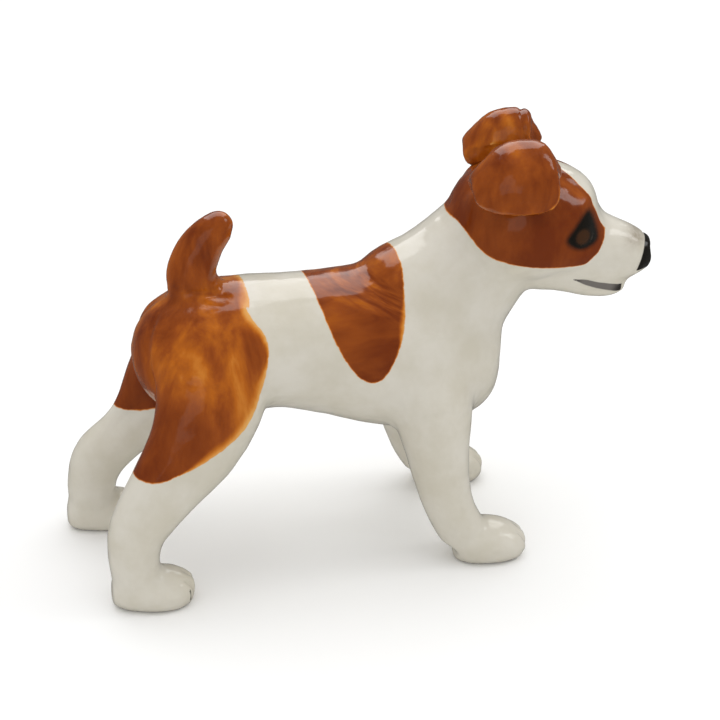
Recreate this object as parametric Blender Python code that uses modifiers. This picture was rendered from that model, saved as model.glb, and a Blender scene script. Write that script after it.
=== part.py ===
"""Ceramic terrier figurine, standing, about 60 mm long and 44 mm high.

The fired dog is one body under its glaze. It is modelled here as nine
castings with flat luting faces: torso, head, two ears, tail and four legs.
That division is assumed, because the glaze would hide any seam. The script
builds the masses of the dog, fuses them into one original, cuts the flat
seams, and names each casting.

Frame: +X towards the nose, +Y the dog's left, +Z up, origin on the surface
that the paws stand on. Tables are in millimetres.
"""

import math

import bpy
import bmesh
import numpy as np
from mathutils import Matrix, Vector

MM = 0.001

# ---------------------------------------------------------------- driving sizes
SEAM = 0.3              # slip joint between two castings
VOXEL = 0.45            # grain of the fused original
BODY_PASSES = 14        # blends the big masses into each other
FINE_PASSES = 3         # blends ears, muzzle, tail and paws into the body
ORIGINAL_TRIANGLES = 9500
RING_POINTS = 28        # points round a lofted section
SPAN_STEPS = 7          # rings between two stations
SOLE_BLOCK = (90.0, 50.0, 3.0)  # block cut away under the paws
SHARP_ANGLE = 40.0      # degrees, keeps the rims of the luting faces crisp

WHITE = (0.80, 0.78, 0.73)
BROWN = (0.36, 0.12, 0.03)
GLAZE_ROUGHNESS = 0.15
BROWN_CASTINGS = ("head", "right_ear", "left_ear", "tail")

# A station is x, y, z of the section's middle, then its half width across the
# dog and its half depth in the plane square to the loft.
TORSO = [
    (-19.3, 0, 24.4, 1.6, 1.6),
    (-17.6, 0, 24.0, 5.0, 4.6),
    (-14.5, 0, 23.4, 7.2, 6.4),
    (-10.0, 0, 23.3, 7.6, 6.8),
    (-5.0, 0, 23.2, 7.2, 6.7),
    (0.0, 0, 22.5, 7.4, 7.4),
    (5.0, 0, 21.7, 8.0, 8.4),
    (9.5, 0, 21.3, 8.0, 9.2),
    (13.5, 0, 20.0, 7.0, 8.4),
    (16.6, 0, 19.0, 5.2, 6.1),
    (18.3, 0, 18.8, 1.6, 2.2),
]
NECK = [
    (6.5, 0, 21.3, 5.0, 6.0),
    (9.8, 0, 24.3, 7.0, 8.2),
    (13.6, 0, 27.8, 6.3, 6.9),
    (17.0, 0, 31.3, 6.0, 5.9),
    (20.5, 0, 34.3, 5.0, 5.0),
]
TAIL = [
    (-12.6, 0, 25.4, 2.6, 2.9),
    (-12.9, 0, 28.8, 2.4, 2.7),
    (-13.2, 0, 31.6, 2.25, 2.45),
    (-12.0, 0, 34.3, 2.0, 2.1),
    (-10.2, 0, 36.1, 1.6, 1.6),
    (-9.2, 0, 36.8, 0.7, 0.7),
]
# The head's tables look straight ahead. The head is then turned to the right.
HEAD_TURN = 14.0        # degrees
HEAD_PIVOT = 15.0       # x of the upright line that the head turns about
SKULL = [
    (13.0, 0, 35.6, 1.6, 1.6),
    (14.6, 0, 35.3, 4.6, 4.0),
    (17.3, 0, 34.6, 6.5, 5.9),
    (20.5, 0, 34.2, 7.1, 6.5),
    (23.6, 0, 33.4, 6.6, 5.7),
    (26.0, 0, 32.2, 5.4, 4.1),
    (28.4, 0, 31.2, 3.4, 2.6),
]
MUZZLE = [
    (23.0, 0, 31.3, 4.6, 4.6),
    (26.5, 0, 31.0, 4.1, 4.2),
    (29.3, 0, 30.7, 3.5, 3.4),
    (31.6, 0, 30.6, 2.9, 2.6),
    (33.4, 0, 30.6, 1.6, 1.5),
]
JAW = [
    (19.5, 0, 30.6, 4.6, 3.6),
    (23.8, 0, 29.6, 4.0, 3.0),
    (27.4, 0, 27.9, 3.0, 2.0),
    (29.8, 0, 27.3, 2.1, 1.4),
    (31.0, 0, 27.2, 1.0, 0.8),
]
# Right ear, a folded flap: rows run from the back of the head forwards, and
# each row goes from the root over the crest and down the flap to its edge.
EAR_FLAP = [
    [(14.9, -3.6, 38.4), (14.3, -5.4, 40.1), (14.4, -7.0, 39.2), (15.0, -7.0, 37.5)],
    [(16.6, -3.2, 39.6), (16.4, -4.8, 42.8), (16.6, -7.6, 41.4), (17.1, -7.8, 37.5)],
    [(19.0, -3.0, 40.0), (19.1, -4.2, 44.6), (19.7, -7.8, 42.2), (20.3, -8.0, 37.2)],
    [(21.9, -3.0, 39.6), (21.8, -4.0, 43.8), (23.2, -6.8, 41.6), (23.4, -7.4, 37.8)],
]
EAR_THICKNESS = 2.4
EAR_CORE = [
    (15.2, -5.3, 39.4, 1.0, 1.0),
    (17.0, -5.5, 40.2, 2.0, 2.3),
    (19.4, -5.5, 40.8, 2.3, 2.9),
    (21.6, -5.2, 40.4, 1.9, 2.4),
    (22.9, -5.0, 39.8, 0.9, 1.0),
]

# Leg tables are for the right side. The left side is their mirror image, with
# its lower leg moved along by the stance.
FORELEG = [
    (9.0, -4.4, 21.3, 3.6, 5.2),
    (9.7, -5.9, 16.3, 3.7, 4.2),
    (10.0, -6.8, 12.3, 3.2, 3.4),
    (10.5, -7.4, 8.5, 2.7, 2.85),
    (11.4, -7.9, 5.2, 2.5, 2.6),
    (12.9, -8.2, 2.4, 2.5, 2.5),
]
FOREPAW = [
    (11.2, -8.3, 1.6, 1.6, 1.6),
    (12.8, -8.3, 1.7, 2.6, 2.3),
    (15.2, -8.3, 1.6, 3.1, 2.4),
    (17.6, -8.3, 1.2, 2.8, 2.0),
    (19.1, -8.3, 1.0, 1.5, 1.1),
]
HINDLEG = [
    (-12.2, -4.2, 23.8, 3.6, 5.6),
    (-12.8, -5.8, 20.3, 3.8, 5.5),
    (-14.7, -6.9, 16.4, 3.4, 4.8),
    (-18.2, -7.6, 12.0, 2.9, 3.7),
    (-20.9, -7.9, 8.2, 2.6, 3.0),
    (-21.5, -8.1, 4.8, 2.4, 2.6),
    (-21.0, -8.2, 2.0, 2.4, 2.6),
]
HINDPAW = [
    (-23.9, -8.2, 1.7, 1.2, 1.4),
    (-22.4, -8.2, 1.6, 2.2, 2.0),
    (-19.4, -8.3, 1.4, 3.0, 2.2),
    (-17.3, -8.3, 1.2, 2.8, 2.0),
    (-15.8, -8.3, 1.0, 1.6, 1.2),
]
HIP_HEIGHT = 22.0
STANCE = {"left_foreleg": 0.8, "left_hind_leg": -2.7}

# A seam is a point on the luting face, the direction it faces, and how far
# the cut reaches round that point.
SEAMS = {
    "head": ((15.4, 0, 30.4), (0.72, 0, 0.69), 9.0),
    "right_ear": ((18.3, -4.8, 38.9), (-0.05, -0.72, 0.69), 7.5),
    "tail": ((-13.0, 0, 30.4), (-0.1, 0, 1.0), 4.2),
    "right_foreleg": ((9.8, -5.5, 14.6), (0, -0.62, -0.78), 8.2),
    "right_hind_leg": ((-14.5, -4.6, 18.3), (-0.38, -0.78, -0.50), 11.0),
}


# ---------------------------------------------------------------- helpers
def clear_scene():
    for thing in list(bpy.data.objects):
        bpy.data.objects.remove(thing, do_unlink=True)


def new_collection(name):
    group = bpy.data.collections.new(name)
    bpy.context.scene.collection.children.link(group)
    return group


def link_mesh(name, bm, group):
    mesh = bpy.data.meshes.new(name)
    bm.to_mesh(mesh)
    bm.free()
    thing = bpy.data.objects.new(name, mesh)
    group.objects.link(thing)
    return thing


def evaluated_mesh(thing):
    graph = bpy.context.evaluated_depsgraph_get()
    graph.update()
    return bpy.data.meshes.new_from_object(thing.evaluated_get(graph))


def bake_modifiers(thing):
    mesh = evaluated_mesh(thing)
    thing.modifiers.clear()
    thing.data = mesh


def through_points(rows, steps):
    """Smooth run of values through the rows (Catmull-Rom)."""
    rows = np.array(rows, float)
    padded = np.vstack([2 * rows[0] - rows[1], rows, 2 * rows[-1] - rows[-2]])
    run = []
    for a, b, c, d in zip(padded, padded[1:], padded[2:], padded[3:]):
        for t in np.arange(steps) / steps:
            run.append(0.5 * (2 * b + (c - a) * t + (2 * a - 5 * b + 4 * c - d) * t**2
                              + (3 * b - a - 3 * c + d) * t**3))
    run.append(rows[-1])
    return np.array(run)


# ---------------------------------------------------------------- masses
def loft(name, stations, group):
    """Closed skin over oval sections square to the line of their middles."""
    run = through_points(stations, SPAN_STEPS)
    centres = run[:, :3]
    tangents = np.gradient(centres, axis=0)
    tangents /= np.linalg.norm(tangents, axis=1)[:, None]
    angles = np.linspace(0, 2 * np.pi, RING_POINTS, endpoint=False)
    bm = bmesh.new()
    rings = []
    for centre, along, (half_width, half_depth) in zip(centres, tangents, run[:, 3:]):
        across = np.array((0.0, 1.0, 0.0)) - along * along[1]
        across /= np.linalg.norm(across)
        deep = np.cross(along, across)
        ring = [centre + half_width * np.cos(a) * across + half_depth * np.sin(a) * deep
                for a in angles]
        rings.append([bm.verts.new(Vector(p) * MM) for p in ring])
    for one, two in zip(rings, rings[1:]):
        for i in range(RING_POINTS):
            j = (i + 1) % RING_POINTS
            bm.faces.new((one[i], one[j], two[j], two[i]))
    bm.faces.new(rings[0])
    bm.faces.new(list(reversed(rings[-1])))
    bmesh.ops.recalc_face_normals(bm, faces=bm.faces)
    return link_mesh(name, bm, group)


def mirrored(stations, shift):
    """Left-side copy of a right-side table, moved along by the stance."""
    return [(x + shift * max(0.0, 1 - z / HIP_HEIGHT), -y, z, w, d)
            for x, y, z, w, d in stations]


def turned(place):
    """Matrix that turns something with the head, about the upright pivot."""
    pivot = Vector((HEAD_PIVOT, 0, 0)) * MM
    turn = Matrix.Rotation(-math.radians(HEAD_TURN), 4, "Z")
    return Matrix.Translation(pivot) @ turn @ Matrix.Translation(-pivot) @ place


def turn_with_head(thing):
    thing.data.transform(turned(Matrix.Identity(4)))
    return thing


def flap(name, rows, side, group):
    """Ear flap: a coarse sheet, thickened and subdivided."""
    bm = bmesh.new()
    grid = [[bm.verts.new(Vector((x, -y * side, z)) * MM) for x, y, z in row] for row in rows]
    for one, two in zip(grid, grid[1:]):
        for i in range(len(one) - 1):
            bm.faces.new((one[i], one[i + 1], two[i + 1], two[i]))
    bmesh.ops.recalc_face_normals(bm, faces=bm.faces)
    thing = link_mesh(name, bm, group)
    thick = thing.modifiers.new("thickness", "SOLIDIFY")
    thick.thickness = EAR_THICKNESS * MM
    thick.offset = 0
    soft = thing.modifiers.new("soft", "SUBSURF")
    soft.levels = soft.render_levels = 2
    bake_modifiers(thing)
    return thing


def build_body(group):
    """Torso, neck, skull and legs: the masses that flow into each other."""
    things = [loft("torso_mass", TORSO, group), loft("neck_mass", NECK, group),
              turn_with_head(loft("skull_mass", SKULL, group))]
    for name, table in (("foreleg", FORELEG), ("hind_leg", HINDLEG)):
        things.append(loft("right_" + name, table, group))
        moved = mirrored(table, STANCE["left_" + name])
        things.append(loft("left_" + name, moved, group))
    return things


def build_fine_masses(group):
    """Muzzle, jaw, ears, tail and paws, which keep a crisper shape."""
    things = [loft("tail_mass", TAIL, group),
              turn_with_head(loft("muzzle_mass", MUZZLE, group)),
              turn_with_head(loft("jaw_mass", JAW, group))]
    for side, mirror in ((-1, False), (1, True)):
        core = mirrored(EAR_CORE, 0) if mirror else EAR_CORE
        things.append(turn_with_head(loft("ear_core", core, group)))
        things.append(turn_with_head(flap("ear_flap", EAR_FLAP, side, group)))
    for leg, table in (("foreleg", FOREPAW), ("hind_leg", HINDPAW)):
        things.append(loft("right_paw", table, group))
        things.append(loft("left_paw", mirrored(table, STANCE["left_" + leg]), group))
    return things


def fuse(name, things, passes, group):
    """Join the masses, and let one even skin flow over them all."""
    bm = bmesh.new()
    for thing in things:
        bm.from_mesh(thing.data)
    for thing in things:
        bpy.data.objects.remove(thing, do_unlink=True)
    fused = link_mesh(name, bm, group)
    skin = fused.modifiers.new("skin", "REMESH")
    skin.mode = "VOXEL"
    skin.voxel_size = VOXEL * MM
    blend = fused.modifiers.new("blend", "SMOOTH")
    blend.factor = 0.5
    blend.iterations = passes
    bake_modifiers(fused)
    return fused


def build_original(group):
    """The dog as one original, with its skin thinned to fewer facets."""
    body = fuse("body", build_body(group), BODY_PASSES, group)
    original = fuse("original", [body] + build_fine_masses(group), FINE_PASSES, group)
    triangles = sum(len(face.vertices) - 2 for face in original.data.polygons)
    thin = original.modifiers.new("thin", "DECIMATE")
    thin.ratio = ORIGINAL_TRIANGLES / triangles
    bake_modifiers(original)
    return original


# ---------------------------------------------------------------- cuts
def block(name, size, place, group):
    bm = bmesh.new()
    bmesh.ops.create_cube(bm, size=1.0)
    bmesh.ops.scale(bm, vec=Vector(size) * MM, verts=bm.verts)
    thing = link_mesh(name, bm, group)
    thing.matrix_world = place
    thing.hide_render = True
    thing.display_type = "WIRE"
    return thing


def seam_block(name, point, facing, reach, group):
    turn = Vector(facing).to_track_quat("Z", "Y").to_matrix().to_4x4()
    place = Matrix.Translation(Vector(point) * MM) @ turn
    if "ear" in name:
        place = turned(place)
    return block(name, (2 * reach, 2 * reach, SEAM), place, group)


def cut(thing, cutter):
    boolean = thing.modifiers.new(cutter.name, "BOOLEAN")
    boolean.operation = "DIFFERENCE"
    boolean.object = cutter


def across(vector):
    return (vector[0], -vector[1], vector[2])


def cut_castings(original, group):
    """Flatten the soles, cut every seam, and return the loose castings."""
    ground = Matrix.Translation(Vector((0, 0, -SOLE_BLOCK[2] / 2)) * MM)
    cut(original, block("ground", SOLE_BLOCK, ground, group))
    for name, (point, facing, reach) in SEAMS.items():
        cut(original, seam_block(name + "_seam", point, facing, reach, group))
        if name.startswith("right_"):
            other = name.replace("right_", "left_") + "_seam"
            cut(original, seam_block(other, across(point), across(facing), reach, group))
    bake_modifiers(original)
    original.select_set(True)
    bpy.context.view_layer.objects.active = original
    bpy.ops.mesh.separate(type="LOOSE")
    return list(bpy.context.selected_objects)


# ---------------------------------------------------------------- castings
def middle(table, head=False):
    """Middle of a table's stations, turned with the head if it is part of it."""
    centre = Vector(np.mean(np.array(table)[:, :3], axis=0)) * MM
    return turned(Matrix.Translation(centre)).translation if head else centre


def expected_middles():
    places = {"torso": middle(TORSO), "tail": middle(TAIL[2:]),
              "head": middle(SKULL + MUZZLE, head=True),
              "right_ear": middle(EAR_CORE, head=True),
              "left_ear": middle(mirrored(EAR_CORE, 0), head=True)}
    for leg, table in (("foreleg", FORELEG[2:]), ("hind_leg", HINDLEG[2:])):
        places["right_" + leg] = middle(table)
        places["left_" + leg] = middle(mirrored(table, STANCE["left_" + leg]))
    return places


def box_middle(thing):
    corners = [thing.matrix_world @ Vector(c) for c in thing.bound_box]
    return sum(corners, Vector()) / len(corners)


def footprint_middle(pieces):
    """Middle, seen from above, of the box round all the castings."""
    corners = [Vector(c) for thing in pieces for c in thing.bound_box]
    along = [c.x for c in corners]
    aside = [c.y for c in corners]
    return Vector((min(along) + max(along), min(aside) + max(aside), 0)) / 2


def name_castings(pieces):
    """Give each loose casting the name whose place it is nearest to."""
    for name, place in expected_middles().items():
        nearest = min(pieces, key=lambda thing: (box_middle(thing) - place).length)
        nearest.name = nearest.data.name = name
        pieces.remove(nearest)
        yield nearest


def glaze(name, colour, roughness):
    material = bpy.data.materials.new(name)
    material.use_nodes = True
    shader = material.node_tree.nodes["Principled BSDF"]
    shader.inputs["Base Color"].default_value = (*colour, 1.0)
    shader.inputs["Roughness"].default_value = roughness
    shader.inputs["Metallic"].default_value = 0.0
    return material


def finish_casting(casting, parent):
    """Origin at the casting's middle, its own glaze, smooth round faces."""
    centre = box_middle(casting)
    casting.data.transform(Matrix.Translation(-centre))
    casting.location = centre
    casting.parent = parent
    colour = BROWN if casting.name in BROWN_CASTINGS else WHITE
    casting.data.materials.clear()
    casting.data.materials.append(glaze(casting.name + "_glaze", colour, GLAZE_ROUGHNESS))
    casting.data.shade_smooth()
    casting.data.set_sharp_from_angle(angle=math.radians(SHARP_ANGLE))


def main():
    clear_scene()
    dog = new_collection("ceramic_dog_figurine")
    cutters = new_collection("cutters")
    pieces = cut_castings(build_original(dog), cutters)
    figurine = bpy.data.objects.new("figurine", None)
    figurine.location = -footprint_middle(pieces)
    dog.objects.link(figurine)
    for casting in list(name_castings(pieces)):
        finish_casting(casting, figurine)


main()
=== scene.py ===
"""Looks of the ceramic dog figurine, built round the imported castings.

The castings are luted into one skin, softened as a sponge and glaze soften
clay, tooled, and painted. The skin is then parted along the castings' seams,
so each casting has its own closed, glazed piece. The dog's lengths are in
millimetres up to the point where a mesh is made, and the studio's in metres.
"""

import math

import bpy
import bmesh
import numpy as np
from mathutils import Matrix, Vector, noise
from mathutils.bvhtree import BVHTree


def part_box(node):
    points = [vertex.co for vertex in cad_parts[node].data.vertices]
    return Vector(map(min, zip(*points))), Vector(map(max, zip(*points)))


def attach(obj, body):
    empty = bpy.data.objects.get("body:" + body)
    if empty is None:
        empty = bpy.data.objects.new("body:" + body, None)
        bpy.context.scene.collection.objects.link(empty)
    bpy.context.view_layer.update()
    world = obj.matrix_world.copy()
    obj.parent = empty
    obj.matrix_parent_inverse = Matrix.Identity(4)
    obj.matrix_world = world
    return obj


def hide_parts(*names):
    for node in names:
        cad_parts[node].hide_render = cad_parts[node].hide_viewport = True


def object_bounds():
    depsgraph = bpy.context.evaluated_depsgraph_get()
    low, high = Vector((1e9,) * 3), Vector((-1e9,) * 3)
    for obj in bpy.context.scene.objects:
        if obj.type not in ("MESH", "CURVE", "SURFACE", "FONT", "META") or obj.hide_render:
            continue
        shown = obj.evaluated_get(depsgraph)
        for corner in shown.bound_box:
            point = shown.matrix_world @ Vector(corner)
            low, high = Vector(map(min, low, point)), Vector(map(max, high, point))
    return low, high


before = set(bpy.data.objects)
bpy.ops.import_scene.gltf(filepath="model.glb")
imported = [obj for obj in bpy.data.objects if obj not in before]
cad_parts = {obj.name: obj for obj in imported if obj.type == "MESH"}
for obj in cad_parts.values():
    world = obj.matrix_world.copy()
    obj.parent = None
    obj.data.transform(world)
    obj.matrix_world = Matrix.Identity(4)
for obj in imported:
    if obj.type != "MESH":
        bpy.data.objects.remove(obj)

CAD_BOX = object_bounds()
MM = 0.001

# ---------------------------------------------------------------- driving values
SEAM_REACH = 0.42       # a luting face has its partner within this distance
SEAM_MIDDLE = 0.15      # from a luting face to the middle of its joint
SEAM_FACING = -0.95     # how squarely two luting faces look at each other
RAY_START = 0.02        # in front of its own face, so that a ray doesn't hit it
LUTE = 0.2              # how far each luting face is pushed into the joint
VOXEL = 0.22            # grain of the skin
SMOOTH_ROUNDS = 14      # softens the castings' facets
SMOOTH_IN = 0.5         # share of the way that a point moves in to its neighbours
SMOOTH_OUT = 0.52       # and out again, so that the skin doesn't shrink
ON_FLOOR = 0.02         # the skin is kept flat on the floor below this height
SOLE_TOP = 0.15         # and isn't tooled outward below this one

HEAD_TURN = math.radians(14.0)
HEAD_PIVOT = 11.68      # x of the upright line that the head is turned about
THROAT = (20.0, 26.5)   # a point under the jaw where the head starts, as x and z
THROAT_TILT = 0.55      # and how steeply that limit rises towards the nape
THROAT_DEPTH = 1.5      # over which body changes into head

# Outlines and lines drawn from the side, as x and z. The head's are in its own frame.
HEAD_PATCH = [(-2.0, 38.0), (8.5, 35.5), (10.5, 35.0), (12.5, 33.0), (15.0, 31.8), (21.5, 31.0),
              (23.5, 31.5), (25.0, 34.0), (24.5, 40.0), (20.0, 50.0), (0.0, 52.0)]
SADDLE = [(-5.5, 33.5), (-5.0, 29.0), (-3.5, 24.5), (-1.5, 21.5), (0.5, 21.2), (2.5, 24.5),
          (3.5, 28.5), (3.0, 33.5)]
RUMP_PATCH = [(-11.5, 36.0), (-11.5, 29.5), (-12.0, 28.7), (-10.5, 26.0), (-11.5, 21.5),
              (-14.0, 18.0), (-20.0, 15.0), (-24.5, 14.3), (-36.0, 18.0), (-36.0, 44.0),
              (-12.0, 46.0)]
EYE = [(23.0, 36.5), (21.5, 35.2), (20.8, 34.0), (22.3, 33.0), (24.0, 33.5), (23.8, 35.0)]
MOUTH = [(22.0, 29.0), (24.5, 28.0), (27.0, 27.2)]
EAR_FOLD = [(17.0, 44.5), (17.1, 42.8), (17.5, 40.6)]      # cut on the left ear only
SHOULDER_LINE = [(3.7, 24.8), (5.5, 25.3), (7.3, 24.6)]

# The blaze's edges, as x and the distance from the head's middle, on the right and the left.
BLAZE_NEAR = [(19.4, 0.5), (21.5, 2.0), (23.5, 3.0), (25.5, 2.3)]
BLAZE_FAR = [(19.4, 0.3), (22.5, 1.2), (24.5, 2.5), (26.0, 4.2)]

# Places on the head, in its own frame.
IRIS = (22.4, 34.3)
EYEBROW = (22.3, 37.03)
EYEBROW_TILT = 0.35
EYEBROW_HALF = 1.3          # half its length
BROW = (22.6, -0.4)         # the middle of the brow's bulge, as x and y
BROW_HALF = (2.4, 4.0)      # half its length and width
BROW_RISE = (34.6, 37.6)    # the heights between which it grows
NOSE_BACK = (28.8, 30.6)    # a point on the rear edge of the black nose
NOSE_TILT = 0.30
NOSE_BOTTOM = 29.3
NOSTRILS = [(30.1, -0.95, 31.0), (30.1, 0.75, 31.0)]
CLEFT_TOP = 30.9            # the nose's cleft reaches up to this height
CHEEK = 1.5                 # the cheeks and eyes are further out than this
EAR_ROOT = (12.2, 4.3, 38.4)
EAR_REAR = (11.8, 14.2)     # x of the ears' rear edges, and of where their trim ends
LEFT_EAR_FRONT = (17.4, 19.0)
FOLD_CUT_FROM = 40.0        # the fold is cut above this height

# Places on the body and the left shin.
THIGH_EDGE = [(-21.5, -6.5, 20.0), (-21.3, -4.0, 24.5), (-20.5, -2.7, 27.0), (-19.5, -1.5, 28.5)]
THIGH_VALLEY_AWAY = 0.8     # from the thigh's rear edge to the valley inside it
LEFT_SHIN_SLOPE = 0.92      # the hollow behind the left shin lies rear of the line
LEFT_SHIN_FOOT = -33.8      # x = slope * z + foot
LEFT_SHIN_MIDDLE = 14.5     # height of the hollow's middle
CROUP = (-15.7, 30.0)       # a point in the groove in front of the tail, as x and z
CROUP_TILT = -0.15

# The paws: y of their middle lines, x of the hind paws' tips, and the grooves between
# the toes, as y from the middle line.
PAWS = {"right_foreleg": -8.3, "left_foreleg": 8.3, "right_hind_leg": -8.3, "left_hind_leg": 8.3}
HIND_TOES = {"right_hind_leg": -19.4, "left_hind_leg": -22.1}
TOE_GROOVES = (-1.35, 0.05, 1.4)
PAW_TOP = 4.0
HEEL_BACK = 8.6             # from a forepaw's tip to the notch behind its pad
CLAW = (-19.75, -10.3)      # the one painted claw line, as x and y
CLAW_SPAN = (0.7, 1.9)      # and its lower and upper end

# The modeller's marks, as height and half width. A mark that is cut in has a negative height.
LIP_CUT = (-0.20, 0.32)
EYE_RIM_CUT = (-0.10, 0.45)
EYEBALL = (0.16, 1.15)
EYEBROW_RIDGE = (0.06, 0.5)
NOSE_CUT = (-0.10, 0.22)
NOSTRIL_CUT = (-0.22, 0.42)
NOSE_CLEFT = (-0.16, 0.2)
EAR_FOLD_CUT = (-0.24, 0.26)
EAR_ROOT_FILL = (1.1, 1.5)
SHOULDER_RIDGE = (0.05, 0.13)
CROUP_GROOVE = (-0.22, 0.4)
THIGH_RIDGE = (0.12, 0.5)
THIGH_VALLEY = (-0.42, 0.5)
LEFT_SHIN_HOLLOW = (-1.25, 3.4)
TOE_CUT = (-0.24, 0.24)
HEEL_CUT = (-0.55, 1.0)

# Marks with a shape of their own: the brow's bulge, and how far the ears' edges are trimmed.
BROW_BULGE = 0.42
EAR_REAR_TRIM = 0.35
LEFT_EAR_FRONT_TRIM = 0.75

# The glaze stays thick this close to the ear's fold, above this height, and to its root.
THICK_BY_FOLD = 1.2
FOLD_FROM = 39.0
THICK_BY_ROOT = 2.6

FINGER_MARKS = (0.055, 3.4)     # height and size of the broad unevenness
SPONGE_MARKS = (0.030, 1.5)     # and of the fine one


# ---------------------------------------------------------------- small tools
def positions(mesh):
    co = np.empty(len(mesh.vertices) * 3)
    mesh.vertices.foreach_get("co", co)
    return co.reshape(-1, 3) / MM


def set_positions(mesh, co):
    mesh.vertices.foreach_set("co", (co * MM).ravel())
    mesh.update()


def vertex_normals(mesh):
    normals = np.empty(len(mesh.vertices) * 3, np.float32)
    mesh.vertices.foreach_get("normal", normals)
    return normals.reshape(-1, 3).astype(float)


def head_frame(points):
    """Points as the head has them: x along the muzzle, y to its left, z up."""
    x = points[:, 0] - HEAD_PIVOT
    y = points[:, 1]
    c, s = math.cos(HEAD_TURN), math.sin(HEAD_TURN)
    return np.stack([x * c - y * s + HEAD_PIVOT, x * s + y * c, points[:, 2]], axis=1)


def smooth_step(low, high, value):
    """From 0 at low to 1 at high, level at both ends. Low may be the greater."""
    t = np.clip((value - low) / (high - low), 0, 1)
    return t * t * (3 - 2 * t)


def bell(value, middle, width):
    return np.exp(-((value - middle) / width) ** 2)


def closed_curve(points, steps=6):
    """Smooth closed outline through a few points (Catmull-Rom)."""
    p = np.array(points, float)
    a, b, c, d = np.roll(p, 1, 0), p, np.roll(p, -1, 0), np.roll(p, -2, 0)
    out = []
    for t in np.arange(steps) / steps:
        out.append(0.5 * (2 * b + (c - a) * t + (2 * a - 5 * b + 4 * c - d) * t**2
                          + (3 * b - a - 3 * c + d) * t**3))
    return np.stack(out, axis=1).reshape(-1, 2)


def inside_distance(outline, u, v):
    """Distance to a closed outline, positive inside it."""
    best = np.full(len(u), np.inf)
    inside = np.zeros(len(u), bool)
    for (ax, ay), (bx, by) in zip(outline, np.roll(outline, -1, 0)):
        dx, dy = bx - ax, by - ay
        t = np.clip(((u - ax) * dx + (v - ay) * dy) / max(dx * dx + dy * dy, 1e-12), 0, 1)
        best = np.minimum(best, np.hypot(u - ax - t * dx, v - ay - t * dy))
        crosses = (ay > v) != (by > v)
        if abs(dy) > 1e-9:
            inside ^= crosses & (u < ax + (v - ay) * dx / dy)
    return np.where(inside, best, -best)


def line_distance(line, points):
    """Distance from points to an open line, and how far along it they are, 0 to 1."""
    line = np.array(line, float)
    best = np.full(len(points), np.inf)
    along = np.zeros(len(points))
    lengths = np.linalg.norm(np.diff(line, axis=0), axis=1)
    start = np.concatenate([[0], np.cumsum(lengths)])
    for i, (a, b) in enumerate(zip(line, line[1:])):
        d = b - a
        t = np.clip((points - a) @ d / (d @ d), 0, 1)
        gap = np.linalg.norm(points - a - t[:, None] * d, axis=1)
        nearer = gap < best
        best[nearer] = gap[nearer]
        along[nearer] = (start[i] + t * lengths[i])[nearer] / start[-1]
    return best, along


def mesh_edges(mesh):
    """The ends of every edge, and how many edges meet at each point."""
    edges = np.empty(len(mesh.edges) * 2, np.int64)
    mesh.edges.foreach_get("vertices", edges)
    edges = edges.reshape(-1, 2)
    counts = np.bincount(edges.ravel(), minlength=len(mesh.vertices))
    return edges, counts


def neighbour_mean(values, edges, counts):
    total = np.stack([
        np.bincount(edges[:, 0], column[edges[:, 1]], len(values))
        + np.bincount(edges[:, 1], column[edges[:, 0]], len(values)) for column in values.T], axis=1)
    return total / counts[:, None]


def blur(values, edges, counts, rounds):
    for _ in range(rounds):
        values = 0.5 * (values + neighbour_mean(values, edges, counts))
    return values


def blur_column(values, edges, counts, rounds):
    return blur(values[:, None], edges, counts, rounds)[:, 0]


# ---------------------------------------------------------------- the skin
def casting_mesh(node):
    bm = bmesh.new()
    bm.from_mesh(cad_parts[node].data)
    bmesh.ops.remove_doubles(bm, verts=bm.verts, dist=1e-6)
    bm.normal_update()
    return bm


def luting_faces(castings):
    """For each pair of castings, the faces of the first that look straight at the second."""
    trees = {name: BVHTree.FromBMesh(bm) for name, bm in castings.items()}
    found = {}
    for name, bm in castings.items():
        for face in bm.faces:
            start = face.calc_center_median() + face.normal * RAY_START * MM
            for other, tree in trees.items():
                if other == name:
                    continue
                hit = tree.ray_cast(start, face.normal, SEAM_REACH * MM)
                if hit[0] is not None and hit[1].dot(face.normal) < SEAM_FACING:
                    found.setdefault((name, other), []).append(face)
    return found


def seams_of(faces):
    """One plane for each pair of castings: its middle, direction and reach."""
    seams = {}
    for (name, other), group in faces.items():
        if (other, name) in seams:
            continue
        area = sum(f.calc_area() for f in group)
        middle = sum((f.calc_center_median() * f.calc_area() for f in group), Vector()) / area
        facing = sum((f.normal * f.calc_area() for f in group), Vector()).normalized()
        reach = max((v.co - middle).length for f in group for v in f.verts)
        seams[(name, other)] = (middle + facing * SEAM_MIDDLE * MM, facing, reach)
    return seams


def close_joints(faces):
    """Push every luting face into its joint, so that the castings overlap."""
    for group in faces.values():
        shift = {}
        for face in group:
            for vert in face.verts:
                shift[vert] = face.normal.copy()
        for vert, normal in shift.items():
            vert.co += normal * LUTE * MM


def fuse(castings):
    """One skin round all the castings, which are used up."""
    whole = bmesh.new()
    for bm in castings.values():
        part = bpy.data.meshes.new("part")
        bm.to_mesh(part)
        whole.from_mesh(part)
        bpy.data.meshes.remove(part)
        bm.free()
    mesh = bpy.data.meshes.new("skin")
    whole.to_mesh(mesh)
    whole.free()
    skin = bpy.data.objects.new("skin", mesh)
    bpy.context.scene.collection.objects.link(skin)
    remesh = skin.modifiers.new("skin", "REMESH")
    remesh.mode = "VOXEL"
    remesh.voxel_size = VOXEL * MM
    graph = bpy.context.evaluated_depsgraph_get()
    fused = bpy.data.meshes.new_from_object(skin.evaluated_get(graph))
    bpy.data.objects.remove(skin, do_unlink=True)
    return fused


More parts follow.
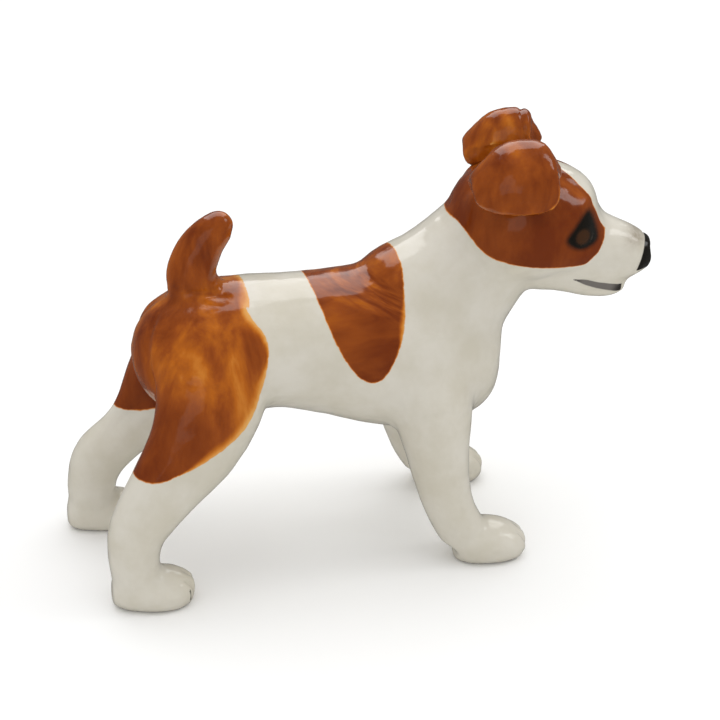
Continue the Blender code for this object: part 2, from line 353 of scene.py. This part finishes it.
def soften(mesh):
    """Even out the skin without shrinking it (Taubin's two-way smoothing)."""
    edges, counts = mesh_edges(mesh)
    co = positions(mesh)
    floor = co[:, 2] < ON_FLOOR
    for _ in range(SMOOTH_ROUNDS):
        co += SMOOTH_IN * (neighbour_mean(co, edges, counts) - co)
        co -= SMOOTH_OUT * (neighbour_mean(co, edges, counts) - co)
    co[floor, 2] = np.minimum(co[floor, 2], 0.0)
    co[:, 2] = np.maximum(co[:, 2], 0.0)
    set_positions(mesh, co)


# ---------------------------------------------------------------- tooling
def on_head(co):
    """1 on the head, 0 on the body, with a soft change at the throat."""
    head = head_frame(co)
    height = head[:, 2] + THROAT_TILT * (head[:, 0] - THROAT[0])
    return smooth_step(THROAT[1], THROAT[1] + THROAT_DEPTH, height)


def ear_mask(co):
    """1 on the ears, 0 elsewhere."""
    head = head_frame(co)
    above = head[:, 2] + 0.25 * (np.abs(head[:, 1]) - 4.0)
    return on_head(co) * smooth_step(36.8, 38.4, above) * smooth_step(1.6, 3.0, np.abs(head[:, 1]))


def past_nose_edge(head):
    """How far in front of the rear edge of the black nose each point is."""
    return head[:, 0] - (NOSE_BACK[0] + NOSE_TILT * (head[:, 2] - NOSE_BACK[1]))


def mark(kind, distance):
    height, width = kind
    return height * bell(distance, 0.0, width)


def tool_face(depth, co):
    head = head_frame(co)
    face = on_head(co)
    x, y, z = head.T

    gap, along = line_distance(MOUTH, head[:, [0, 2]])
    lips = face * smooth_step(0.8, 1.4, np.abs(y))
    depth += lips * mark(LIP_CUT, gap) * smooth_step(0.0, 0.25, along)

    cheek = face * (np.abs(y) > CHEEK)
    depth += cheek * mark(EYE_RIM_CUT, inside_distance(closed_curve(EYE), x, z))
    height, radius = EYEBALL
    from_iris = np.hypot(x - IRIS[0], z - IRIS[1])
    depth += height * cheek * np.clip(1 - (from_iris / radius) ** 2, 0, 1)
    above_eyebrow = z - EYEBROW[1] - EYEBROW_TILT * (x - EYEBROW[0])
    depth += cheek * mark(EYEBROW_RIDGE, above_eyebrow) * bell(x, EYEBROW[0], EYEBROW_HALF)

    brow = bell(x, BROW[0], BROW_HALF[0]) * bell(y, BROW[1], BROW_HALF[1])
    brow = brow * smooth_step(*BROW_RISE, z)
    depth += BROW_BULGE * face * brow * (1 - ear_mask(co))

    depth += face * mark(NOSE_CUT, past_nose_edge(head)) * (z > NOSE_BOTTOM)
    for nostril in NOSTRILS:
        depth += face * mark(NOSTRIL_CUT, np.linalg.norm(head - nostril, axis=1))
    depth += face * mark(NOSE_CLEFT, y) * smooth_step(28.6, 29.4, x) * (z < CLEFT_TOP)


def tool_ears(depth, co):
    head = head_frame(co)
    ears = ear_mask(co)
    x, y, z = head.T
    depth -= EAR_REAR_TRIM * ears * (1 - smooth_step(*EAR_REAR, x))
    depth -= LEFT_EAR_FRONT_TRIM * ears * smooth_step(*LEFT_EAR_FRONT, x) * (y > 0)
    gap, _ = line_distance(EAR_FOLD, head[:, [0, 2]])
    depth += on_head(co) * mark(EAR_FOLD_CUT, gap) * (y > 0.8) * (z > FOLD_CUT_FROM)
    for which_side in (-1, 1):
        root = np.array(EAR_ROOT) * (1, which_side, 1)
        depth += mark(EAR_ROOT_FILL, np.linalg.norm(head - root, axis=1))


def tool_body(depth, co):
    x, y, z = co.T
    gap, _ = line_distance(SHOULDER_LINE, co[:, [0, 2]])
    depth += mark(SHOULDER_RIDGE, gap) * (y < -5)
    above_groove = z - CROUP[1] - CROUP_TILT * (x - CROUP[0])
    depth += mark(CROUP_GROOVE, above_groove) * bell(x, -15.4, 2.6) * (z > 27)

    rear = np.stack([x, -np.abs(y), z], axis=1)
    ridge, _ = line_distance(THIGH_EDGE, rear)
    valley, along = line_distance([(a, b + THIGH_VALLEY_AWAY, c) for a, b, c in THIGH_EDGE], rear)
    fade = smooth_step(0.0, 0.3, along) * (1 - smooth_step(0.7, 1.0, along))
    depth += (mark(THIGH_RIDGE, ridge) + mark(THIGH_VALLEY, valley)) * fade

    behind = smooth_step(0.5, -2.5, x - (LEFT_SHIN_SLOPE * z + LEFT_SHIN_FOOT))
    depth += mark(LEFT_SHIN_HOLLOW, z - LEFT_SHIN_MIDDLE) * (y > 3) * behind


def tool_paw(depth, co, leg, middle):
    low, high = (Vector(corner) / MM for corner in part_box(leg))
    x, y, z = co.T
    paw = (z < PAW_TOP) * (y * middle > 0) * (x < high.x + 1) * (x > low.x - 1)
    toe = HIND_TOES.get(leg, high.x)
    front = smooth_step(toe - 2.7, toe - 1.3, x) * (x < toe + 1) * (1 - smooth_step(2.3, 3.3, z))
    for offset in TOE_GROOVES:
        depth += mark(TOE_CUT, y - middle - offset) * paw * front
    if leg not in HIND_TOES:
        depth += mark(HEEL_CUT, x - toe + HEEL_BACK) * bell(z, 0.9, 0.8) * paw


def tooled(co):
    """Height of the modeller's marks at each point, outward positive."""
    depth = np.zeros(len(co))
    tool_face(depth, co)
    tool_ears(depth, co)
    tool_body(depth, co)
    for leg, middle in PAWS.items():
        tool_paw(depth, co, leg, middle)
    return depth


def hand_marks(co):
    """Slight unevenness left by fingers and sponge, in two sizes."""
    broad, broad_size = FINGER_MARKS
    fine, fine_size = SPONGE_MARKS
    out = np.empty(len(co))
    for i, (x, y, z) in enumerate(co):
        out[i] = (broad * noise.noise((x / broad_size, y / broad_size, z / broad_size + 7.0))
                  + fine * noise.noise((x / fine_size + 5.0, y / fine_size, z / fine_size)))
    return out


def sharpen_ears(mesh, edges, counts):
    """Bring back the ears' edges, which the softening rounds off."""
    co = positions(mesh)
    ears = ear_mask(co)
    for rounds, amount in ((60, 0.12), (14, 0.7)):
        change = co - blur(co, edges, counts, rounds)
        co = co + change * (amount * ears)[:, None]
    set_positions(mesh, co)
    return co


def tool(mesh, edges, counts):
    """Move the skin out or in by its marks, inside the castings' own box."""
    co = sharpen_ears(mesh, edges, counts)
    normals = vertex_normals(mesh)
    sole = co[:, 2] < SOLE_TOP
    depth = tooled(co) + hand_marks(co)
    depth = np.where(sole, np.minimum(depth, 0), depth)
    normals[sole, 2] = 0
    low, high = (np.array(corner) / MM for corner in CAD_BOX)
    set_positions(mesh, np.clip(co + normals * depth[:, None], low, high))


# ---------------------------------------------------------------- paint
OFF_PATCH = -5.0        # a distance that is well outside any patch


def brown_patches(co, head, face):
    """Distances inside the saddle and the rump patch, and inside any brown."""
    saddle = inside_distance(closed_curve(SADDLE), co[:, 0], co[:, 2])
    rump = inside_distance(closed_curve(RUMP_PATCH), co[:, 0], co[:, 2])
    cap = inside_distance(closed_curve(HEAD_PATCH), head[:, 0], head[:, 2])
    near = np.interp(head[:, 0], *zip(*BLAZE_NEAR)) + head[:, 1]
    far = np.interp(head[:, 0], *zip(*BLAZE_FAR)) - head[:, 1]
    blaze = np.minimum(np.minimum(near, far), head[:, 0] - BLAZE_NEAR[0][0])
    cap = np.where(face, np.minimum(cap, -blaze), OFF_PATCH)
    saddle = np.where(face, OFF_PATCH, saddle)
    return saddle, rump, np.maximum(np.maximum(saddle, rump), cap)


def amber_and_reflection_width(x, z, saddle, rump):
    """Width of the thin amber edge: broad under the thigh, narrow elsewhere; by the tail's root it
    is widened partly for thin glaze and partly as a painted reflection.
    """
    under_thigh = (rump > -1) * smooth_step(-20.5, -16.5, x) * (1 - smooth_step(22.0, 25.0, z))
    flank = (rump > -1) * smooth_step(-13.0, -12.0, x) * bell(z, 27.0, 1.6)
    saddle_front = (saddle > -1) * smooth_step(1.6, 2.6, x) * bell(z, 26.4, 1.6)
    # thin glaze and painted reflection together: the pale edge is widened by the tail's root
    croup_thin_glaze_and_reflection = (rump > -1) * smooth_step(-13.6, -12.4, x) * bell(z, 29.2, 1.4)
    return 0.16 + 0.85 * under_thigh + 0.45 * flank + 0.5 * saddle_front + 0.8 * croup_thin_glaze_and_reflection


def glaze_tone_and_shade(co, head, face, saddle, rump):
    """How thick the brown glaze lies, from 0 for amber to 1 for red-brown, with painted shade added:
    darker towards the saddle's bottom and low at the rump's rear.
    """
    x, z = co[:, 0], co[:, 2]
    ear = face & (ear_mask(co) > 0.5)
    tail = z > 30.5
    # painted shade: the saddle's value grows towards its bottom, so it is darker low down
    tone = np.select([ear & (head[:, 1] > 0), ear, face, saddle > -1, tail],
                     [0.60, 0.76, 0.88, 0.84 - 0.02 * (z - 24), 0.74], 0.68)
    # painted shade: the rump patch is made darker low at the rear, under the thigh
    painted_shade_low_rear = smooth_step(-15.5, -19.0, x + 0.3 * (z - 20)) * (1 - smooth_step(20.0, 24.0, z))
    return tone + 0.22 * (rump > -1) * painted_shade_low_rear


def relief(co, normals, head, face, edges, counts):
    """How far each point stands out from its neighbourhood, where glaze runs thin."""
    bulge = ((co - blur(co, edges, counts, 8)) * normals).sum(1)
    bulge = blur_column(bulge, edges, counts, 2)
    fold, _ = line_distance(EAR_FOLD, head[:, [0, 2]])
    root = np.hypot(head[:, 0] - EAR_ROOT[0], head[:, 2] - EAR_ROOT[2])
    thick = face & (((fold < THICK_BY_FOLD) & (head[:, 2] > FOLD_FROM)) | (root < THICK_BY_ROOT))
    return np.where(thick, np.minimum(bulge, 0.0), bulge)


def drawn_details(co, head, face):
    """Distances inside the eye, iris, nose, mouth and claw, and the soot's strength."""
    x, y, z = head.T
    eye = inside_distance(closed_curve(EYE), x, z)
    eye = np.where(face & (np.abs(y) > CHEEK), eye, OFF_PATCH)
    iris = 0.85 - np.hypot(x - IRIS[0], z - IRIS[1])
    nose = np.where(face, past_nose_edge(head), OFF_PATCH)
    nose = np.minimum(nose, z - NOSE_BOTTOM)
    gap, along = line_distance(MOUTH, head[:, [0, 2]])
    mouth = 0.08 + 0.20 * smooth_step(0.0, 0.3, along) + 0.14 * along - gap
    mouth = np.minimum(np.where(face, mouth, OFF_PATCH), MOUTH[-1][0] + 0.2 - x)
    soot = face * bell(x, 28.4, 1.3) * bell(z, 32.8, 0.9)
    claw = 0.10 - 0.8 * np.hypot(co[:, 0] - CLAW[0], co[:, 1] - CLAW[1])
    low, high = CLAW_SPAN
    claw = np.minimum(claw, 0.5 * np.minimum(co[:, 2] - low, high - co[:, 2]))
    return {"eye": eye, "iris": iris, "nose": nose, "mouth": mouth,
            "mouth_ends": np.abs(along - 0.5) * 2, "soot": soot, "claw": claw}


def paint(mesh, edges, counts):
    """The values that the glaze's material reads at each point."""
    co = positions(mesh)
    head = head_frame(co)
    face = on_head(co) > 0.5
    x, z = co[:, 0], co[:, 2]
    saddle, rump, brown = brown_patches(co, head, face)
    tone = glaze_tone_and_shade(co, head, face, saddle, rump)
    brushed_along = smooth_step(-9.0, -7.0, x) * (1 - smooth_step(25.0, 29.0, z + 0.4 * (x - 5)))
    values = {"brown": brown,
              "amber_and_reflection": amber_and_reflection_width(x, z, saddle, rump),
              "tone": blur_column(tone, edges, counts, 30),
              "bulge": relief(co, vertex_normals(mesh), head, face, edges, counts),
              "along_body": brushed_along}
    values.update(drawn_details(co, head, face))
    for name, numbers in values.items():
        attribute = mesh.attributes.new(name, "FLOAT", "POINT")
        attribute.data.foreach_set("value", numbers.astype(np.float32))


# ---------------------------------------------------------------- parting
def cut_seams(skin, seams):
    """Cut the skin open along every seam."""
    bm = bmesh.new()
    bm.from_mesh(skin)
    rims = []
    for middle, facing, reach in seams.values():
        near = [f for f in bm.faces if (f.calc_center_median() - middle).length < reach * 1.25]
        near_edges = {e for f in near for e in f.edges}
        near_verts = {v for f in near for v in f.verts}
        geom = near + list(near_edges) + list(near_verts)
        cut = bmesh.ops.bisect_plane(bm, geom=geom, plane_co=middle, plane_no=facing, dist=1e-7)
        rims += [e for e in cut["geom_cut"] if isinstance(e, bmesh.types.BMEdge)]
    bmesh.ops.split_edges(bm, edges=rims)
    mesh = bpy.data.meshes.new("parted")
    bm.to_mesh(mesh)
    bm.free()
    return mesh


def part_skin(skin, seams):
    """The open pieces of the skin, one for each casting."""
    whole = bpy.data.objects.new("parted", cut_seams(skin, seams))
    bpy.context.scene.collection.objects.link(whole)
    for thing in bpy.context.selected_objects:
        thing.select_set(False)
    whole.select_set(True)
    bpy.context.view_layer.objects.active = whole
    bpy.ops.mesh.separate(type="LOOSE")
    pieces = sorted(bpy.context.selected_objects, key=lambda piece: -len(piece.data.vertices))
    for crumb in pieces[len(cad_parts):]:
        bpy.data.objects.remove(crumb, do_unlink=True)
    return pieces[:len(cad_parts)]


def cap_piece(piece):
    """Close a piece with its luting faces, with a sharp rim round each."""
    bm = bmesh.new()
    bm.from_mesh(piece.data)
    rim = [e for e in bm.edges if e.is_boundary]
    caps = bmesh.ops.edgeloop_fill(bm, edges=rim)["faces"]
    bmesh.ops.triangulate(bm, faces=caps)
    bmesh.ops.recalc_face_normals(bm, faces=bm.faces)
    for edge in rim:
        edge.smooth = False
    for face in bm.faces:
        face.smooth = True
    bm.to_mesh(piece.data)
    bm.free()


def name_pieces(pieces):
    """Each piece is named for the casting whose box it fills best."""
    def misfit(piece, node):
        low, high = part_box(node)
        corners = [Vector(c) for c in piece.bound_box]
        return (corners[0] - low).length + (corners[6] - high).length
    for node in sorted(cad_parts):
        piece = min(pieces, key=lambda p: misfit(p, node))
        pieces.remove(piece)
        piece.name = piece.data.name = node + "_glazed"
        yield node, piece


# ---------------------------------------------------------------- materials
class Nodes:
    """Short way to write a material's node tree."""

    def __init__(self, material):
        material.use_nodes = True
        self.tree = material.node_tree
        self.shader = self.tree.nodes["Principled BSDF"]

    def link(self, socket, value):
        if isinstance(value, bpy.types.NodeSocket):
            self.tree.links.new(value, socket)
        elif value is not None:
            socket.default_value = value

    def add(self, kind, inputs, output=0, **settings):
        node = self.tree.nodes.new("ShaderNode" + kind)
        for key, value in settings.items():
            setattr(node, key, value)
        for key, value in inputs.items():
            self.link(node.inputs[key], value)
        return node.outputs[output]

    def attribute(self, name):
        return self.add("Attribute", {}, "Fac", attribute_name=name)

    def math(self, operation, a, b=None, c=None):
        return self.add("Math", dict(enumerate([a, b, c])), operation=operation)

    def step(self, value, low, high):
        inputs = {"Value": value, "From Min": low, "From Max": high}
        return self.add("MapRange", inputs, interpolation_type="SMOOTHSTEP")

    def noise(self, place, scale, detail=3.0, roughness=0.5, distortion=0.0):
        inputs = {"Vector": place, "Scale": scale, "Detail": detail,
                  "Roughness": roughness, "Distortion": distortion}
        return self.add("TexNoise", inputs, "Fac")

    def mix(self, factor, a, b):
        """Mix two colours."""
        return self.add("Mix", {0: factor, 6: a, 7: b}, 2, data_type="RGBA")

    def mix_vectors(self, factor, a, b):
        return self.add("Mix", {0: factor, 4: a, 5: b}, 1, data_type="VECTOR")

    def ramp(self, value, stops):
        node = self.tree.nodes.new("ShaderNodeValToRGB")
        self.link(node.inputs[0], value)
        elements = node.color_ramp.elements
        for element, (place, colour) in zip(elements, (stops[0], stops[-1])):
            element.position = place
            element.color = colour
        for place, colour in stops[1:-1]:
            elements.new(place).color = colour
        return node.outputs[0]


def rgb(r, g, b):
    """Linear colour from the usual 0-255 screen values."""
    def linear(v):
        v /= 255
        return v / 12.92 if v <= 0.04045 else ((v + 0.055) / 1.055) ** 2.4
    return (linear(r), linear(g), linear(b), 1.0)


BROWN_RAMP = [(0.0, rgb(240, 205, 140)), (0.12, rgb(226, 168, 92)), (0.30, rgb(206, 128, 46)),
              (0.50, rgb(180, 97, 22)), (0.70, rgb(148, 72, 20)), (0.95, rgb(112, 46, 10))]


def white_glaze(n, place):
    """White glaze over a pale clay, with the odd iron speck."""
    cloud = n.noise(place, 170.0, 4.0, 0.6)
    white = n.mix(n.step(cloud, 0.3, 0.7), rgb(206, 200, 184), rgb(217, 212, 200))
    cell = n.add("TexVoronoi", {"Vector": place, "Scale": 420.0}, "Distance")
    speck = n.math("MULTIPLY", n.step(cell, 0.075, 0.03),
                   n.step(n.noise(place, 300.0, 1.0), 0.60, 0.68))
    return n.mix(n.math("MULTIPLY", speck, 0.55), white, rgb(120, 96, 74))


def brush_marks(n, place):
    """Streaks and blotches, drawn out along the saddle and upright elsewhere."""
    upright = n.add("Mapping", {"Vector": place, "Scale": (1.0, 1.0, 0.34)})
    level = n.add("Mapping", {"Vector": place, "Scale": (0.34, 1.0, 1.0)})
    brushed = n.mix_vectors(n.attribute("along_body"), upright, level)
    streak = n.noise(brushed, 420.0, 4.0, 0.6, 0.3)
    blotch = n.noise(brushed, 190.0, 3.0, 0.55, 0.8)
    return n.math("ADD", n.math("MULTIPLY_ADD", streak, 0.95, -0.475),
                  n.math("MULTIPLY_ADD", blotch, 1.25, -0.625))


def brown_glaze(n, place, depth):
    """Brown glaze: amber where it is thin, red-brown where it pools; its tone also carries painted
    shade, and its pale edge a painted reflection by the tail's root.
    """
    tone = n.attribute("tone")
    # the tone read here carries painted shade: darker at the saddle's bottom and low at the rump's
    # rear
    unevenness = n.math("MULTIPLY_ADD", tone, -2.1, 2.33)
    thick = n.math("MULTIPLY_ADD", brush_marks(n, place), unevenness, tone)
    # the pale edge is partly a painted reflection, by the tail's root
    edge = n.step(n.math("DIVIDE", depth, n.attribute("amber_and_reflection")), 0.0, 1.15)
    thick = n.math("MULTIPLY", thick, n.math("MULTIPLY_ADD", edge, 0.75, 0.25))
    bulge = n.attribute("bulge")
    thick = n.math("SUBTRACT", thick, n.math("MULTIPLY", n.step(bulge, 0.038, 0.075), 0.5))
    thick = n.math("ADD", thick, n.math("MULTIPLY", n.step(bulge, -0.03, -0.08), 0.3))
    return n.ramp(thick, BROWN_RAMP)


def with_details(n, place, colour):
    """The colour with the soot, mouth, eye, nose and claw drawn over it."""
    soot = n.math("MULTIPLY", n.attribute("soot"), n.noise(place, 1500.0, 4.0, 0.7))
    colour = n.mix(n.math("MULTIPLY", soot, 1.1), colour, rgb(122, 106, 84))
    mouth = n.mix(n.step(n.attribute("mouth_ends"), 0.55, 1.0), rgb(118, 113, 108), rgb(52, 48, 44))
    colour = n.mix(n.step(n.attribute("mouth"), -0.05, 0.05), colour, mouth)
    eye = n.attribute("eye")
    colour = n.mix(n.step(eye, -0.45, 0.30), colour, rgb(20, 16, 10))
    iris = n.math("MULTIPLY", n.step(n.attribute("iris"), -0.1, 0.35), n.step(eye, 0.2, 0.5))
    colour = n.mix(iris, colour, rgb(62, 38, 20))
    colour = n.mix(n.step(n.attribute("nose"), -0.07, 0.07), colour, rgb(24, 21, 17))
    return n.mix(n.step(n.attribute("claw"), -0.04, 0.06), colour, rgb(30, 30, 22))


def glaze_surface(n, place, mask):
    """Orange peel and small dents, with the brown lying on top of the white."""
    rough = n.math("MULTIPLY_ADD", n.noise(place, 600.0, 3.0), 0.12, 0.07)
    n.link(n.shader.inputs["Roughness"], rough)
    peel = n.noise(place, 1900.0, 2.0, 0.5)
    dents = n.noise(place, 620.0, 3.0, 0.5)
    height = n.math("ADD", n.math("MULTIPLY", peel, 0.25), dents)
    height = n.math("ADD", height, n.math("MULTIPLY", mask, 0.35))
    bump = n.add("Bump", {"Strength": 0.55, "Distance": 0.00006, "Height": height})
    n.link(n.shader.inputs["Normal"], bump)
    n.shader.inputs["IOR"].default_value = 1.5


def glaze_material():
    material = bpy.data.materials.new("painted_glaze")
    n = Nodes(material)
    place = n.add("TexCoord", {}, "Object")
    ragged = n.math("MULTIPLY_ADD", n.noise(place, 1300.0, 3.0, 0.6), 0.26, -0.13)
    depth = n.math("ADD", n.attribute("brown"), ragged)
    mask = n.step(depth, -0.05, 0.07)
    colour = n.mix(mask, white_glaze(n, place), brown_glaze(n, place, depth))
    n.link(n.shader.inputs["Base Color"], with_details(n, place, colour))
    glaze_surface(n, place, mask)
    return material


def plain_material(name, colour, roughness):
    material = bpy.data.materials.new(name)
    n = Nodes(material)
    place = n.add("TexCoord", {}, "Object")
    tone = n.noise(place, 30.0, 2.0)
    n.link(n.shader.inputs["Base Color"], n.mix(tone, colour, tuple(0.985 * c for c in colour)))
    n.shader.inputs["Roughness"].default_value = roughness
    return material


# ---------------------------------------------------------------- studio
AIM = Vector((0.4, 0.0, 19.8)) * MM
CAMERA_AWAY = 183.7 * MM
CAMERA_LENS = 90.0
ROOM_LIGHT = 0.74       # brightness of the room around the dog
ROOM_IN_GLAZE = 0.12    # and how bright it looks in the glaze
FLOOR_GAP = 0.00002     # the floor lies this far under the soles


def outward(azimuth, elevation):
    """Direction from the dog: azimuth 0 is its right side, 90 its nose."""
    a, e = math.radians(azimuth), math.radians(elevation)
    return Vector((math.sin(a) * math.cos(e), -math.cos(a) * math.cos(e), math.sin(e)))


def place_facing_dog(thing, azimuth, elevation, away):
    back = outward(azimuth, elevation)
    thing.location = AIM + back * away
    thing.rotation_euler = back.to_track_quat("Z", "Y").to_euler()
    bpy.context.scene.collection.objects.link(thing)


def add_camera():
    data = bpy.data.cameras.new("camera")
    data.lens = CAMERA_LENS
    data.sensor_width = 36.0
    data.clip_start = 0.01
    camera = bpy.data.objects.new("camera", data)
    place_facing_dog(camera, -15.0, 26.0, CAMERA_AWAY)
    bpy.context.scene.camera = camera


def add_panel(name, azimuth, elevation, away, size, power, seen_by="both"):
    """A lit rectangle, which can be left out of the glaze or out of the shading."""
    data = bpy.data.lights.new(name, "AREA")
    data.shape = "RECTANGLE"
    data.size, data.size_y = size
    data.energy = power
    light = bpy.data.objects.new(name, data)
    place_facing_dog(light, azimuth, elevation, away)
    light.visible_diffuse = seen_by != "gloss"
    light.visible_glossy = seen_by != "shade"


def add_floor():
    mesh = bpy.data.meshes.new("floor")
    bm = bmesh.new()
    bmesh.ops.create_grid(bm, x_segments=1, y_segments=1, size=2.0)
    bm.to_mesh(mesh)
    bm.free()
    floor = bpy.data.objects.new("floor", mesh)
    floor.location.z = -FLOOR_GAP
    bpy.context.scene.collection.objects.link(floor)
    floor.data.materials.append(plain_material("floor_paper", (0.97, 0.97, 0.965, 1.0), 0.7))
    floor.visible_glossy = False


def add_room():
    """A white room, darker in the glaze and fully white behind the dog."""
    world = bpy.data.worlds.new("studio")
    world.use_nodes = True
    nodes, links = world.node_tree.nodes, world.node_tree.links
    background = nodes["Background"]
    background.inputs["Color"].default_value = (1, 1, 1, 1)
    path = nodes.new("ShaderNodeLightPath")
    strength = nodes.new("ShaderNodeMapRange")
    strength.inputs["To Min"].default_value = ROOM_LIGHT
    strength.inputs["To Max"].default_value = ROOM_IN_GLAZE
    links.new(path.outputs["Is Glossy Ray"], strength.inputs["Value"])
    backdrop = nodes.new("ShaderNodeMath")
    backdrop.operation = "MAXIMUM"
    links.new(strength.outputs[0], backdrop.inputs[0])
    links.new(path.outputs["Is Camera Ray"], backdrop.inputs[1])
    links.new(backdrop.outputs[0], background.inputs["Strength"])
    bpy.context.scene.world = world


def add_studio():
    add_floor()
    add_room()
    add_panel("window", 165.0, 52.0, 0.5, (0.62, 0.5), 2.1, "gloss")
    add_panel("overhead", 160.0, 82.0, 0.6, (0.7, 0.7), 1.9, "shade")
    add_panel("second_window", 82.0, 40.0, 0.5, (0.13, 0.18), 0.2)
    add_panel("side", -25.0, 18.0, 0.6, (0.3, 0.34), 0.12)
    add_camera()
    bpy.context.scene.view_settings.view_transform = "Standard"


# ---------------------------------------------------------------- assembly
def glazed_skin():
    """The whole dog's skin, tooled and painted, and the seams to part it by."""
    castings = {name: casting_mesh(name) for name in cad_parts}
    faces = luting_faces(castings)
    seams = seams_of(faces)
    close_joints(faces)
    skin = fuse(castings)
    soften(skin)
    edges, counts = mesh_edges(skin)
    tool(skin, edges, counts)
    paint(skin, edges, counts)
    return skin, seams


def add_dog():
    glaze = glaze_material()
    skin, seams = glazed_skin()
    for node, piece in list(name_pieces(part_skin(skin, seams))):
        cap_piece(piece)
        piece.data.materials.append(glaze)
        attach(piece, "root")
        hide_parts(node)


add_dog()
add_studio()
